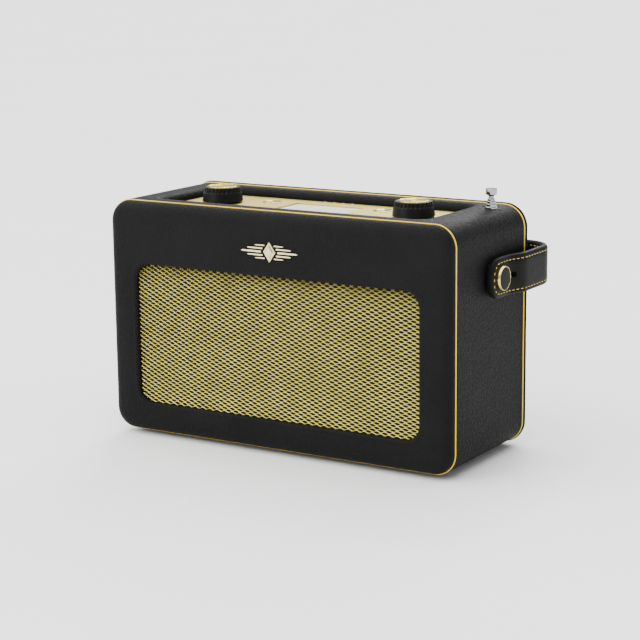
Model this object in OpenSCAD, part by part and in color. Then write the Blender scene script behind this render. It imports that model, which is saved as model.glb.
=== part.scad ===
// Leather-covered portable radio with a swinging carry strap, two push-and-turn knobs,
// two push buttons, a telescopic aerial and a drop-down battery door.
// Millimetres. +X is the right-hand side seen from the front, +Y is the back, +Z is up.

/* [Case] */
// Width over the leather-covered sides
case_w = 250; // [240:1:262]
// Height of the case body, without the feet
case_h = 151.5; // [148:0.5:158]
// Distance between the front and rear piping
body_d = 90; // [88:1:96]
// Radius of the four long edges
corner_r = 14; // [12:0.5:18]
// How far the padded front stands in front of the piping
front_depth = 7; // [6.5:0.5:9]
// How far the back panel stands behind the rear piping
back_depth = 6.5; // [6:0.5:8]
// Thickness of the leathercloth
leather_t = 1; // [0.8:0.1:1.2]
// Thickness of the cabinet boards
board_t = 8; // [7:0.5:9]
// Radius of the piping cord
piping_r = 0.7; // [0.6:0.1:0.8]

/* [Front] */
// Width of the grille opening
opening_w = 206.4; // [196:0.2:208]
// Height of the grille opening
opening_h = 90.5; // [84:0.5:92]
// Height of the middle of the grille opening above the case bottom
opening_z = 65.8; // [64:0.2:68]
// Corner radius of the grille opening
opening_r = 10; // [6:0.5:12]
// Depth of the leather lip in front of the grille
lip_t = 2.5; // [2:0.1:3]
// Height of the badge above the case bottom
badge_z = 127; // [124:0.5:130]

/* [Top] */
// Width of the recess in the top
well_w = 192; // [186:1:196]
// Front-to-back size of the recess
well_d = 66; // [64:1:68]
// Depth of the control panel below the rim
well_depth = 5.1; // [4.5:0.1:6]
// Distance of each knob from the middle
knob_x = 71; // [68:1:74]
// Radius of a knob at its base
knob_base_r = 13; // [12.5:0.1:14]
// Radius of a knob at its notched rim
knob_top_r = 11.6; // [11.2:0.1:12]
// How far a knob is pressed to work its switch
knob_push = 0.8; // [0.5:0.1:0.8]
// Distance of each button from the middle
button_x = 41.5; // [40:0.5:44]
// Radius of a button
button_r = 6.2; // [5.5:0.1:6.5]
// How far a button travels
button_travel = 0.6; // [0.4:0.1:0.6]

/* [Strap] */
// Width of the strap
strap_w = 25; // [24:0.5:26]
// Thickness of the strap
strap_t = 4.5; // [4:0.1:5]
// Distance from the studs to the inside of the grip
strap_reach = 65.5; // [65.5:0.5:68]
// Height of the studs above the case bottom
stud_z = 113.5; // [110:0.5:114]
// Distance of the studs behind the middle of the body
stud_y = 2; // [1:0.5:2]
// Radius of a stud's head
stud_r = 7.6; // [7:0.1:8]

/* [Aerial] */
// Distance of the aerial from the middle
aerial_x = 110.4; // [110:0.1:110.5]
// Distance of the aerial behind the middle of the body
aerial_y = 28; // [27:0.5:28]

/* [Hidden] */
$fn = 64;

eps = 0.5;                     // overrun of a cutting tool
slack = 0.15;                  // clearance between parts that drop into one another
foot_h = 2.5;
foot_r = 7;
foot_x = 95;
foot_y = 28;
seam_y = body_d / 2;           // both piping lines, measured from the middle of the body
body_half = seam_y + piping_r; // front and back ends of the boards
front_y = -seam_y - front_depth;
back_y = seam_y + back_depth;
inner_x = case_w / 2 - leather_t - board_t;
inner_top = case_h - leather_t - board_t;
inner_base = leather_t + board_t;

// grille stack, front to back
grille_t = 1.2;
grille_lap = 3.5;
grille_y = front_y + lip_t;
cloth_y = grille_y + grille_t;
badge_w = 42;
badge_h = 13;
badge_t = 1;

// control panel and what hangs under it
panel_t = 2;
panel_top = case_h - well_depth;
panel_low = panel_top - panel_t;
lining_t = 2.6;
board_low = panel_top - 13.4;  // underside of the control board
pcb_t = 1.6;
board_top = board_low + pcb_t;
window_w = 51;
window_d = 46;
window_y = -3;
window_drop = 0.8;
light_pitch = 6.8;
light_y = 30;
light_r = 0.9;
button_y = 15;
button_rise = 1;
switch_h = 3.5;
knob_y = 1;
knob_gap = knob_push + 0.1;
knob_low = panel_top + knob_gap;
knob_high = case_h + 5.6;
notch_band = 3.3;
notch_count = 28;
cap_r = 9.75;
cap_t = 1.2;
encoder_w = 12.4;
encoder_h = 6;
bush_r = 3.5;
shaft_r = 3;
rotor_r = 5.2;

// strap and studs
strap_gap = piping_r + 0.6;
strap_in_x = case_w / 2 + strap_gap;
strap_out_x = strap_in_x + strap_t;
strap_bend_r = 14.5;
strap_tip = 12.7;
strap_end_r = 11;
strap_bow = 4.5;               // how far an arm bellies out behind its stud
bow_start = 8.2;
bow_full = 27;
strap_wide_x = strap_out_x + strap_bow;
slot_w = 3.5;
slot_run = 15;
shank_r = 1.7;
stud_head_t = 2.6;
inset_r = 6.8;
inset_t = 0.6;
nut_t = 2.6;

// aerial: outer radius of each stage and how far its top stands above the rim
stage_r = [4.1, 3.45, 2.85, 2.25, 1.65];
stage_rise = [1, 2.8, 4.4, 5.9];
stage_wall = 0.4;
stage_step = 1.2;              // each stage stands this much higher at its foot
aerial_foot = 14;
tip_r = 3.6;
tip_low = 8.2;
tip_high = 11.9;
dimple_r = 6.6;
dimple_depth = 1.3;

// battery door and bay
door_w = 131.6;
door_low = 16.7;               // height of the hinge axis
door_high = 84;
hinge_y = 49.2 - 51.5 + back_y;
barrel_r = 2.3;
door_t = 2.9;
door_pin_r = 1.2;
cell_r = 16.8;
cell_l = 60;
bay_w = 134;
bay_h = 74;
bay_back = 9;
bay_wall = 2;
cell_y = bay_back + bay_wall + 0.4 + cell_r;
bay_z = 12 + bay_h / 2;

// loudspeaker
speaker_r = 46;
cone_r = 37;
coil_r = 12.5;
magnet_r = 25;
cone_t = 0.8;
baffle_back = -body_half + board_t;
basket_back = baffle_back + 26;
magnet_back = basket_back + 16;

// sockets on the back
plate_x = 90;
plate_z = 53;
plate_w = 28;
plate_h = 66;
plate_t = 1.5;
socket_z = [36, 54, 72];
main_board_y = 33;
jack_r = 1.8;
dc_r = 3;

// the row frame: the middle of the bounding box's base
bounds_front = front_y - badge_t;
bounds_back = stud_y + strap_reach + strap_t;
shift_y = -(bounds_front + bounds_back) / 2;

// ---------------------------------------------------------------- helpers

// A rounded rectangle about the origin.
module rounded(w, h, r) {
    square([w - 2 * r, h], center = true);
    square([w, h - 2 * r], center = true);
    for (x = [-1, 1], y = [-1, 1]) translate([x * (w / 2 - r), y * (h / 2 - r)]) circle(r);
}

// The case outline in the X-Z plane, drawn in by a margin.
module case_outline(margin) {
    rounded(case_w - 2 * margin, case_h - 2 * margin, corner_r - margin);
}

// Puts a piece drawn about the case into the row frame.
module place() {
    translate([0, shift_y, foot_h]) children();
}

// Extrudes a drawing in X-Z from y0 to y1, about height z.
module slab_y(y0, y1, z = 0) {
    translate([0, y1, z]) rotate([90, 0, 0]) linear_extrude(y1 - y0) children();
}

// A cylinder along Y.
module rod_y(r, y0, y1, x = 0, z = 0) {
    translate([x, y0, z]) rotate([-90, 0, 0]) cylinder(r = r, h = y1 - y0);
}

// A cylinder along X.
module rod_x(r, x0, x1, y = 0, z = 0) {
    translate([x0, y, z]) rotate([0, 90, 0]) cylinder(r = r, h = x1 - x0);
}

// A cylinder along Z.
module rod_z(r, z0, z1, x = 0, y = 0) {
    translate([x, y, z0]) cylinder(r = r, h = z1 - z0);
}

// A box from its lowest corner to its highest.
module box(low, high) {
    translate(low) cube(high - low);
}

// A round cord that follows a rounded rectangle in the X-Z plane.
module cord_loop(w, h, corner, cord_r) {
    run_x = w / 2 - corner;
    run_z = h / 2 - corner;
    for (s = [-1, 1]) {
        rod_x(cord_r, -run_x, run_x, 0, s * h / 2);
        rod_z(cord_r, -run_z, run_z, s * w / 2, 0);
    }
    rotate([90, 0, 0]) for (q = [0:3])
        translate([(q == 0 || q == 3 ? 1 : -1) * run_x, (q < 2 ? 1 : -1) * run_z])
            rotate([0, 0, q * 90]) rotate_extrude(angle = 90) translate([corner, 0]) circle(cord_r);
}

// A cover of the case outline from y = 0 back to its rounded rear edge at y = depth.
module padded_cover(depth, edge) {
    margin = 0.3;
    slab_y(0, depth - edge, case_h / 2) case_outline(margin);
    slab_y(0, depth, case_h / 2) case_outline(margin + edge);
    intersection() {
        translate([0, depth - edge, case_h / 2])
            cord_loop(case_w - 2 * (margin + edge), case_h - 2 * (margin + edge),
                      corner_r - margin - edge, edge);
        box([-case_w, 0, -eps], [case_w, depth + eps, case_h + eps]);
    }
}

// ---------------------------------------------------------------- cabinet

module board_stock() {
    slab_y(-body_half, body_half, case_h / 2) case_outline(leather_t);
}

module cabinet_top() {
    color("peru") difference() {
        intersection() {
            board_stock();
            box([-inner_x, -body_half, inner_top], [inner_x, body_half, case_h]);
        }
        translate([0, 0, inner_top - eps]) linear_extrude(board_t + 2 * eps)
            rounded(well_w + 2 * lining_t, well_d + 2 * lining_t, 6);
        rod_z(dimple_r, case_h - dimple_depth, case_h + eps, aerial_x, aerial_y);
        rod_z(5.25, inner_top - eps, case_h, aerial_x, aerial_y);
    }
}

module cabinet_base() {
    color("peru") difference() {
        intersection() {
            board_stock();
            box([-inner_x, -body_half, 0], [inner_x, body_half, inner_base]);
        }
        for (x = [-foot_x, foot_x], y = [-foot_y, foot_y]) rod_z(2.5, 0, 6, x, y);
    }
}

module cabinet_side(side) {
    color("peru") difference() {
        intersection() {
            board_stock();
            box([side > 0 ? inner_x : -case_w, -body_half, 0],
                [side > 0 ? case_w : -inner_x, body_half, case_h]);
        }
        rod_x(shank_r + 0.05, side > 0 ? inner_x - eps : -case_w / 2,
              side > 0 ? case_w / 2 : -inner_x + eps, stud_y, stud_z);
        for (z = screw_heights()) rod_y(1.6, body_half - 10, body_half + eps, side * screw_x, z);
    }
}

screw_x = inner_x + 3;
function screw_heights() = [16, case_h / 2, case_h - 16];

module leather_wrap() {
    end = seam_y - piping_r;
    color("#262626") difference() {
        union() {
            difference() {
                slab_y(-end, end, case_h / 2) case_outline(0);
                slab_y(-end - eps, end + eps, case_h / 2) case_outline(leather_t);
            }
            translate([0, 0, inner_top]) linear_extrude(case_h - inner_top - 0.01)
                rounded(well_w + 2 * lining_t, well_d + 2 * lining_t, 6);
        }
        translate([0, 0, inner_top - eps]) linear_extrude(board_t + leather_t + 2 * eps)
            rounded(well_w, well_d, 5);
        rod_z(dimple_r, case_h - dimple_depth, case_h + eps, aerial_x, aerial_y);
        rod_z(5.25, inner_top - eps, case_h, aerial_x, aerial_y);
        for (x = [-foot_x, foot_x], y = [-foot_y, foot_y]) rod_z(2.5, -eps, 6, x, y);
        rod_x(shank_r + 0.05, -case_w, case_w, stud_y, stud_z);
    }
}

module front_cover() {
    color("#242424") difference() {
        mirror([0, 1, 0]) translate([0, body_half, 0]) padded_cover(-front_y - body_half, 6);
        slab_y(front_y - eps, -body_half + eps, opening_z)
            rounded(opening_w, opening_h, opening_r);
        slab_y(grille_y, -body_half + eps, opening_z)
            rounded(opening_w + 2 * grille_lap + 2 * slack,
                                 opening_h + 2 * grille_lap + 2 * slack, 12);
        for (x = [-14, 14]) rod_y(1, front_y - eps, front_y + 3, x, badge_z);
    }
}

module front_piping() {
    color("#dcb45a") translate([0, -seam_y, case_h / 2]) cord_loop(case_w, case_h, corner_r, piping_r);
}

module rear_piping() {
    color("#dcb45a") translate([0, seam_y, case_h / 2]) cord_loop(case_w, case_h, corner_r, piping_r);
}

module front_baffle() {
    color("burlywood") difference() {
        box([-inner_x, -body_half, inner_base], [inner_x, baffle_back, inner_top]);
        rod_y(speaker_r - 5, -body_half - eps, baffle_back + eps, 0, opening_z);
    }
}

module grille_sheet(y0, y1) {
    slab_y(y0, y1, opening_z)
        rounded(opening_w + 2 * grille_lap, opening_h + 2 * grille_lap, 12);
}

module grille() {
    color("#d8c66a") grille_sheet(grille_y, cloth_y);
}

module grille_cloth() {
    color("#151515") grille_sheet(cloth_y, -body_half);
}

// A plain fan ornament: a diamond between two tapered wings, on two fixing pins.
module front_badge() {
    wing = [[5.2, 1.9], [badge_w / 2 - 5, 2.6], [badge_w / 2, 0],
            [badge_w / 2 - 5, -2.6], [5.2, -1.9]];
    color("#e6cf86") {
        slab_y(front_y - badge_t, front_y, badge_z) union() {
            polygon([[0, badge_h / 2], [6, 0], [0, -badge_h / 2], [-6, 0]]);
            polygon(wing);
            mirror([1, 0]) polygon(wing);
        }
        for (x = [-14, 14]) rod_y(1, front_y - 0.01, front_y + 3, x, badge_z);
    }
}

module rubber_feet() {
    color("#111111") for (x = [-foot_x, foot_x], y = [-foot_y, foot_y]) {
        rod_z(foot_r, -foot_h, 0, x, y);
        rod_z(2.48, -0.01, 6, x, y);
    }
}

// ---------------------------------------------------------------- back

module door_cut(gap) {
    box([-door_w / 2 - gap, body_half - eps, door_low - barrel_r - gap],
        [door_w / 2 + gap, back_y + eps, door_high + gap]);
}

module back_panel() {
    color("#242424") difference() {
        translate([0, body_half, 0]) padded_cover(back_y - body_half, 5);
        door_cut(0.3);
        rod_x(door_pin_r + 0.1, -door_w / 2 - 3, door_w / 2 + 3, hinge_y, door_low);
        box([plate_x - plate_w / 2 - slack, body_half - eps, plate_z - plate_h / 2 - slack],
            [plate_x + plate_w / 2 + slack, back_y + eps, plate_z + plate_h / 2 + slack]);
        for (x = [-screw_x, screw_x], z = screw_heights()) {
            rod_y(1.8, body_half - eps, back_y + eps, x, z);
            rod_y(3.3, back_y - 1.4, back_y + eps, x, z);
        }
    }
}

module back_panel_screws() {
    color("#c8b060") for (x = [-screw_x, screw_x], z = screw_heights()) difference() {
        union() {
            rod_y(3.1, back_y - 1.4, back_y + 0.2, x, z);
            rod_y(1.6, body_half - 9, back_y - 1.3, x, z);
        }
        for (a = [0, 90]) translate([x, back_y + 0.3, z]) rotate([0, a, 0])
            cube([3.6, 1.8, 0.8], center = true);
    }
}

module battery_door() {
    color("#1e1e1e") difference() {
        union() {
            box([-door_w / 2, back_y - door_t, door_low], [door_w / 2, back_y, door_high]);
            rod_x(barrel_r, -door_w / 2, door_w / 2, hinge_y, door_low);
            rod_x(door_pin_r, -door_w / 2 - 2.5, door_w / 2 + 2.5, hinge_y, door_low);
            for (x = [-40, 0, 40])
                box([x - 1, back_y - door_t - 2, door_low + 8], [x + 1, back_y - door_t, door_high - 6]);
        }
        box([-12, back_y - 1.2, door_high - 5], [12, back_y + eps, door_high + eps]);
    }
}

module battery_box() {
    color("#303030") difference() {
        box([-bay_w / 2, bay_back, bay_z - bay_h / 2], [bay_w / 2, body_half, bay_z + bay_h / 2]);
        box([-bay_w / 2 + bay_wall, bay_back + bay_wall, bay_z - bay_h / 2 + bay_wall],
            [bay_w / 2 - bay_wall, body_half + eps, bay_z + bay_h / 2 - bay_wall]);
    }
}

module batteries() {
    for (row = [-1, 1], half = [-1, 1]) {
        z = bay_z + row * (cell_r + 0.4);
        x0 = half < 0 ? -cell_l - 1.4 : 0;
        color("#3a4a5a") rod_x(cell_r, x0, x0 + cell_l, cell_y, z);
        color("silver") rod_x(4.5, x0 + cell_l - 0.01, x0 + cell_l + 1.4, cell_y, z);
    }
}

module battery_contacts() {
    reach = bay_w / 2 - bay_wall;
    color("silver") for (row = [-1, 1]) {
        z = bay_z + row * (cell_r + 0.4);
        box([-reach, cell_y - 7, z - 7], [-reach + 0.5, cell_y + 7, z + 7]);
        box([reach - 0.5, cell_y - 7, z - 7], [reach, cell_y + 7, z + 7]);
        rod_x(4, -reach + 0.49, -cell_l - 1.4, cell_y, z);
        rod_x(4, cell_l + 1.4, reach - 0.49, cell_y, z);
    }
}

module connector_plate() {
    color("#2a2a2a") difference() {
        slab_y(back_y - plate_t, back_y, plate_z) translate([plate_x, 0])
            rounded(plate_w, plate_h, 2);
        rod_y(4.2, back_y - plate_t - eps, back_y + eps, plate_x, socket_z[0]);
        for (i = [1, 2]) rod_y(3.1, back_y - plate_t - eps, back_y + eps, plate_x, socket_z[i]);
    }
}

// A round-nosed socket between the main board and the connector plate.
module socket(z, half_w, nose_r, hole_r, hole_depth) {
    low = main_board_y + pcb_t;
    difference() {
        union() {
            box([plate_x - half_w, low, z - half_w], [plate_x + half_w, back_y - plate_t, z + half_w]);
            rod_y(nose_r, back_y - plate_t - 0.01, back_y, plate_x, z);
        }
        rod_y(hole_r, back_y - hole_depth, back_y + eps, plate_x, z);
    }
}

module power_socket() {
    color("#161616") socket(socket_z[0], 6.5, 4.1, dc_r, 11);
    color("silver") rod_y(1, back_y - 11.01, back_y - 1.5, plate_x, socket_z[0]);
}

module headphone_socket() {
    color("#161616") socket(socket_z[2], 5.5, 3, jack_r, 14);
}

module line_in_socket() {
    color("#161616") socket(socket_z[1], 5.5, 3, jack_r, 14);
}

module main_board() {
    color("darkgreen") box([74, main_board_y, 18], [106, main_board_y + pcb_t, 98]);
    color("#202020") {
        box([80, main_board_y - 1.6, 60], [94, main_board_y, 74]);
        box([80, main_board_y - 1.2, 40], [90, main_board_y, 48]);
    }
    color("silver") box([78, main_board_y - 3.5, 80], [98, main_board_y, 94]);
    color("#2a3550") for (z = [24, 34]) rod_y(3.5, main_board_y - 10, main_board_y, 98, z);
}

// ---------------------------------------------------------------- top panel

module control_panel() {
    color("#e2d49a") difference() {
        translate([0, 0, panel_low]) linear_extrude(panel_t)
            rounded(well_w - 2 * slack, well_d - 2 * slack, 4.8);
        translate([0, window_y, panel_low - eps]) linear_extrude(panel_t + 2 * eps)
            rounded(window_w, window_d, 1.5);
        for (s = [-1, 1]) {
            rod_z(bush_r + 0.1, panel_low - eps, panel_top + eps, s * knob_x, knob_y);
            rod_z(button_r + 0.1, panel_low - eps, panel_top + eps, s * button_x, button_y);
        }
        for (i = [0:3])
            rod_z(light_r + 0.05, panel_low - eps, panel_top + eps, (i - 1.5) * light_pitch, light_y);
    }
}

module panel_chassis() {
    wall = 2;
    color("#202020") difference() {
        union() {
            translate([0, 0, board_top]) linear_extrude(panel_low - board_top)
                rounded(well_w - 2 * slack, well_d - 2 * slack, 4.8);
            translate([0, 0, inner_top - 2]) linear_extrude(2)
                rounded(well_w + 16, well_d + 8, 4.8);
        }
        translate([0, 0, board_top - eps]) linear_extrude(panel_low - board_top + 2 * eps)
            rounded(well_w - 2 * wall - 8, well_d - 2 * wall, 3);
    }
}

module display_window() {
    color("#e8e4d8") translate([0, window_y, panel_low]) linear_extrude(panel_t - window_drop)
        rounded(window_w - 2 * slack, window_d - 2 * slack, 1.4);
}

module display_module() {
    color("#8a9088") box([-30, window_y - 26, panel_low - 4.5], [30, window_y + 26, panel_low]);
}

module control_board() {
    color("darkgreen") translate([0, 0, board_low]) linear_extrude(pcb_t)
        rounded(well_w - 6, well_d - 3, 2);
}

module indicator_lights() {
    color("#f2f0e6") for (i = [0:3])
        rod_z(light_r, board_top, panel_top + 0.3, (i - 1.5) * light_pitch, light_y);
}

module push_button(side) {
    color("#d9c372") translate([side * button_x, button_y, 0]) difference() {
        union() {
            rod_z(button_r, panel_low - 0.4, panel_top + button_rise);
            rod_z(button_r + 1, panel_low - 1.5, panel_low - 0.3);
            rod_z(1.8, board_top + switch_h + button_travel + 0.3, panel_low - 1.4);
        }
        translate([0, 0, panel_top + button_rise + 16]) sphere(r = 16.8);
    }
}

module button_switches() {
    color("#181818") for (s = [-1, 1]) {
        box([s * button_x - 3, button_y - 3, board_top], [s * button_x + 3, button_y + 3, board_top + 2.4]);
        rod_z(1.6, board_top + 2.39, board_top + switch_h, s * button_x, button_y);
    }
}

module knob_body(side) {
    band_low = knob_high - notch_band - 0.4;
    color("#1a1a1a") translate([side * knob_x, knob_y, 0]) difference() {
        union() {
            translate([0, 0, knob_low])
                cylinder(r1 = knob_base_r, r2 = knob_top_r + 0.25, h = band_low - knob_low);
            rod_z(knob_top_r, band_low, knob_high - 0.4);
        }
        rod_z(knob_base_r - 3, knob_low - eps, knob_low + 2.6);
        rod_z(shaft_r + 0.02, knob_low, knob_high - 3);
        rod_z(cap_r, knob_high - cap_t, knob_high + eps);
        for (i = [0:notch_count - 1]) rotate([0, 0, i * 360 / notch_count])
            translate([knob_top_r + 0.35, 0, band_low + 0.3]) cylinder(r = 0.8, h = 5, $fn = 16);
    }
}

module knob_cap(side) {
    r = cap_r - 0.02;
    color("#e8d080") translate([side * knob_x, knob_y, knob_high]) rotate_extrude()
        polygon([[0, -cap_t], [r, -cap_t], [r, -0.2], [r - 0.3, 0], [r - 1, 0], [5, -0.25], [0, -0.35]]);
}

// The shaft with the detent disc that turns inside the encoder.
module knob_shaft(side) {
    color("silver") translate([side * knob_x, knob_y, 0]) {
        rod_z(shaft_r, board_top + 2.6, knob_high - 3.1);
        rod_z(rotor_r, board_top + 2.6, board_top + 4);
    }
}

// The disc under the shaft that works the push switch and doesn't turn.
module plunger(side) {
    color("ivory") rod_z(4, board_top + 1.9, board_top + 2.5, side * knob_x, knob_y);
}

module encoder(side) {
    color("#9aa0a4") translate([side * knob_x, knob_y, 0]) difference() {
        union() {
            box([-encoder_w / 2, -encoder_w / 2, board_top],
                [encoder_w / 2, encoder_w / 2, board_top + encoder_h]);
            rod_z(bush_r, board_top + encoder_h - 0.01, knob_low + 0.8);
        }
        rod_z(rotor_r + 0.2, board_top + 0.8, board_top + 4.8);
        rod_z(shaft_r + 0.05, board_top + 4.7, knob_low + 2);
    }
}

// ---------------------------------------------------------------- aerial

function stage_foot(i) = aerial_foot + i * stage_step;
function stage_top(i) = case_h + stage_rise[i];

// One telescopic tube: crimped at its mouth onto the next stage, open below.
module aerial_stage(i) {
    bore = stage_r[i] - stage_wall;
    color("#d4d6d8") translate([aerial_x, aerial_y, 0]) difference() {
        union() {
            rod_z(stage_r[i], stage_foot(i), stage_top(i) - 0.5);
            translate([0, 0, stage_top(i) - 0.5])
                cylinder(r1 = stage_r[i], r2 = stage_r[i] - 0.25, h = 0.5);
            if (i > 0) rod_z(stage_r[i - 1] - stage_wall - 0.06, stage_foot(i), stage_foot(i) + 5);
        }
        rod_z(bore, stage_foot(i) + (i == 0 ? 1 : -eps), stage_top(i) - 3);
        rod_z(stage_r[i + 1] + 0.06, stage_top(i) - 3.1, stage_top(i) + eps);
    }
}

module aerial_rod() {
    i = 4;
    color("#d4d6d8") translate([aerial_x, aerial_y, 0]) {
        rod_z(stage_r[i], stage_foot(i), case_h + tip_low);
        rod_z(stage_r[i - 1] - stage_wall - 0.06, stage_foot(i), stage_foot(i) + 5);
    }
}

module aerial_tip() {
    edge = 0.5;
    color("#d4d6d8") translate([aerial_x, aerial_y, case_h]) rotate_extrude()
        polygon([[0, tip_low], [tip_r - edge, tip_low], [tip_r, tip_low + edge],
                 [tip_r, tip_high - 0.9], [tip_r - 0.7, tip_high - 0.3], [0, tip_high]]);
}

// The bush in the top board and the cup on the base that the aerial turns in.
module aerial_bushes() {
    ledge = case_h - dimple_depth;
    color("#141414") translate([aerial_x, aerial_y, 0]) {
        difference() {
            union() {
                rod_z(5.5, ledge, ledge + 0.9);
                rod_z(5.2, inner_top - 2, ledge + 0.01);
            }
            rod_z(stage_r[0] + 0.05, inner_top - 3, case_h);
        }
        difference() {
            rod_z(5.3, inner_base, aerial_foot + 8);
            rod_z(stage_r[0] + 0.05, aerial_foot - 0.3, aerial_foot + 9);
        }
    }
}

// ---------------------------------------------------------------- strap

// One side of the strap in plan: the arm, bellied out behind the stud, and its bend into the grip.
function strap_side(x, tip_y, y, r) = concat(
    [[x, tip_y]],
    [for (i = [0:8]) let (t = i / 8)
        [x + strap_bow * (1 - cos(180 * t)) / 2, stud_y + bow_start + (bow_full - bow_start) * t]],
    [for (i = [0:10]) let (a = i * 9) [x + strap_bow - r + r * cos(a), y - r + r * sin(a)]]
);
function mirrored(points) = [for (i = [len(points) - 1:-1:0]) [-points[i][0], points[i][1]]];

function strap_inside(edge) = concat(
    [for (p = edge) [-p[0], p[1]]],
    [for (i = [len(edge) - 1:-1:0]) edge[i]]
);

module strap() {
    inner_y = stud_y + strap_reach;
    outer_y = inner_y + strap_t;
    tip_y = stud_y - strap_tip;
    outer = strap_side(strap_out_x, tip_y, outer_y, strap_bend_r + strap_t);
    inner = strap_side(strap_in_x, tip_y, inner_y, strap_bend_r);
    length = outer_y - tip_y + 2 * strap_end_r;
    color("#2b2b2b") difference() {
        intersection() {
            translate([0, 0, stud_z - strap_w / 2]) linear_extrude(strap_w)
                polygon(concat(outer, mirrored(outer), strap_inside(inner)));
            translate([-case_w, tip_y + length / 2, stud_z]) rotate([90, 0, 90])
                linear_extrude(2 * case_w) rounded(length, strap_w, strap_end_r);
        }
        for (s = [-1, 1]) {
            x0 = s > 0 ? strap_in_x - eps : -strap_wide_x - eps;
            x1 = s > 0 ? strap_wide_x + eps : -strap_in_x + eps;
            rod_x(slot_w / 2, x0, x1, stud_y, stud_z);
            rod_x(slot_w / 2, x0, x1, stud_y + slot_run, stud_z);
            box([x0, stud_y, stud_z - slot_w / 2], [x1, stud_y + slot_run, stud_z + slot_w / 2]);
        }
    }
}

module stud(side) {
    low = min(side * strap_out_x, side * (strap_out_x + stud_head_t));
    color("#d9c070") difference() {
        union() {
            rod_x(stud_r, low, low + stud_head_t, stud_y, stud_z);
            rod_x(shank_r, min(side * (inner_x - nut_t), side * (strap_out_x + 0.01)),
                  max(side * (inner_x - nut_t), side * (strap_out_x + 0.01)), stud_y, stud_z);
        }
        rod_x(inset_r, side > 0 ? low + stud_head_t - inset_t : low - eps,
              side > 0 ? low + stud_head_t + eps : low + inset_t, stud_y, stud_z);
    }
}

module left_stud() {
    stud(-1);
}

module right_stud() {
    stud(1);
}

module stud_insets() {
    face = strap_out_x + stud_head_t;
    color("#222222") for (s = [-1, 1]) {
        x = s * (face - inset_t / 2);
        rod_x(inset_r - 0.05, x - inset_t / 2, x + inset_t / 2, stud_y, stud_z);
    }
}

module stud_nuts() {
    color("silver") for (s = [-1, 1]) translate([s * (inner_x - nut_t / 2 - 0.2), stud_y, stud_z])
        rotate([0, 90, 0]) difference() {
            cylinder(r = 5, h = nut_t - 0.2, center = true, $fn = 6);
            cylinder(r = shank_r + 0.01, h = nut_t + 1, center = true);
        }
}

// ---------------------------------------------------------------- loudspeaker

// A body of revolution about the loudspeaker's axis; points are [radius, y].
module turned(points) {
    translate([0, 0, opening_z]) rotate([-90, 0, 0]) rotate_extrude() polygon(points);
}

module speaker_frame() {
    seat = speaker_r - 4;
    rim = magnet_r + 1;
    color("#303438") difference() {
        turned([[speaker_r - 5, baffle_back], [speaker_r, baffle_back], [speaker_r, baffle_back + 2],
                [seat, baffle_back + 2], [seat, baffle_back + 4], [rim, basket_back],
                [coil_r + 2, basket_back], [coil_r + 2, basket_back - 1.5],
                [rim - 1, basket_back - 1.5], [seat - 1.8, baffle_back + 4], [speaker_r - 5, baffle_back + 2]]);
        for (a = [45:90:315]) translate([0, 0, opening_z]) rotate([0, a, 0])
            box([-8, baffle_back + 6, 20], [8, basket_back - 3, speaker_r]);
    }
}

module speaker_magnet() {
    color("#3c3c40") turned([
        [0, basket_back - 6], [coil_r - 1.2, basket_back - 6], [coil_r - 1.2, magnet_back - 4],
        [coil_r + 1.2, magnet_back - 4], [coil_r + 1.2, basket_back],
        [magnet_r, basket_back], [magnet_r, magnet_back], [0, magnet_back]]);
}

module speaker_cone() {
    front = baffle_back + 1.5;
    throat = basket_back - 11;
    color("#26241f") turned([
        [cone_r, front], [cone_r, front + cone_t], [coil_r + 0.3, throat + 1.2],
        [coil_r + 0.3, basket_back + 6], [coil_r - 0.3, basket_back + 6], [coil_r - 0.3, throat + 0.6],
        [8, throat - 2.4], [0, throat - 3.6], [0, throat - 4.4], [8.3, throat - 3.2],
        [coil_r + 0.2, throat]]);
}

module speaker_surround() {
    y = baffle_back + 1.5;
    mid = (cone_r + speaker_r - 5) / 2 + 0.2;
    half = (speaker_r - 5 - cone_r) / 2 - 0.2;
    bulge = [for (a = [180:-20:0]) [mid + half * cos(a), y - half * sin(a)]];
    inside = [for (a = [0:20:180]) [mid + (half - 0.5) * cos(a), y - (half - 0.5) * sin(a)]];
    color("#141414") turned(concat(bulge, inside));
}

// ---------------------------------------------------------------- nodes

place() cabinet_top();
place() cabinet_base();
place() cabinet_side(-1);  // cabinet_left_side
place() cabinet_side(1);  // cabinet_right_side
place() leather_wrap();
place() front_cover();
place() front_piping();
place() rear_piping();
place() front_baffle();
place() grille();
place() grille_cloth();
place() front_badge();
place() back_panel();
place() back_panel_screws();
place() rubber_feet();
place() connector_plate();
place() power_socket();
place() headphone_socket();
place() line_in_socket();
place() main_board();
place() battery_box();
place() batteries();
place() battery_contacts();
place() battery_door();
place() control_panel();
place() panel_chassis();
place() display_window();
place() display_module();
place() control_board();
place() indicator_lights();
place() push_button(-1);  // source_button
place() push_button(1);  // menu_button
place() button_switches();
place() knob_body(-1);  // volume_knob
place() knob_cap(-1);  // volume_knob_cap
place() knob_shaft(-1);  // volume_shaft
place() plunger(-1);  // volume_plunger
place() encoder(-1);  // volume_encoder
place() knob_body(1);  // tuning_knob
place() knob_cap(1);  // tuning_knob_cap
place() knob_shaft(1);  // tuning_shaft
place() plunger(1);  // tuning_plunger
place() encoder(1);  // tuning_encoder
place() aerial_bushes();
place() aerial_stage(0);  // aerial_tube
place() aerial_stage(1);  // aerial_section_1
place() aerial_stage(2);  // aerial_section_2
place() aerial_stage(3);  // aerial_section_3
place() aerial_rod();
place() aerial_tip();
place() strap();
place() left_stud();
place() right_stud();
place() stud_insets();
place() stud_nuts();
place() speaker_frame();
place() speaker_magnet();
place() speaker_cone();
place() speaker_surround();
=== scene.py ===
"""Leather portable radio: looks, light and camera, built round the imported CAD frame."""
import math
from bisect import bisect_right

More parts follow.
